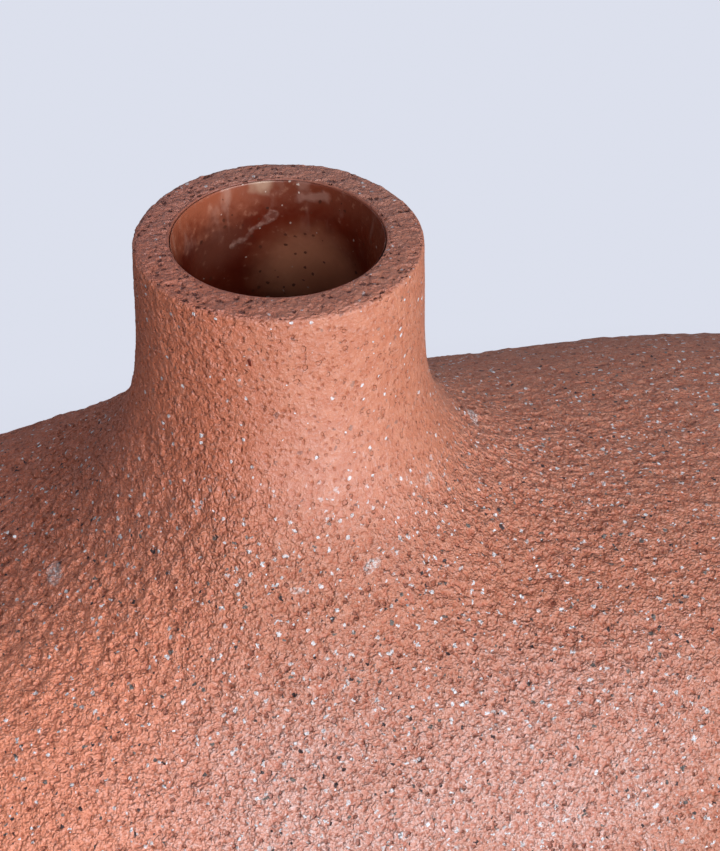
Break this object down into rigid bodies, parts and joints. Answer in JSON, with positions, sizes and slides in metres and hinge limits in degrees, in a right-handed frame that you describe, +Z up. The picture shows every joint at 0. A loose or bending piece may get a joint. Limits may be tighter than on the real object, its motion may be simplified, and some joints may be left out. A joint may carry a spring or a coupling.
{
  "type": "jug",
  "caption": "Handleless terracotta jug: a wide loaf-shaped coarse clay body with a short round neck set off its middle, glazed clear inside.",
  "frame": {"origin": "centre of the flat base, on the surface that the jug stands on", "axes": "+Z up through the rim, +X along the body's length, away from the end that the neck is nearer to"},
  "size_m": [0.244, 0.12, 0.145],
  "materials": {
    "slab_clay": "unglazed coarse fired clay, scraped flat",
    "wall_clay": "unglazed coarse fired clay, matte and grainy",
    "shell_clay": "unglazed coarse fired clay, matte and grainy, flecked white and black",
    "collar_clay": "unglazed coarse fired clay, matte, smoother than the body",
    "clear_glaze": "glossy clear glaze over orange clay"
  },
  "bodies": {
    "root": {"base_slab": "slab_clay", "lower_wall": "wall_clay", "upper_shell": "shell_clay", "neck_collar": "collar_clay", "glaze_lining": "clear_glaze"}
  },
  "joints": []
}
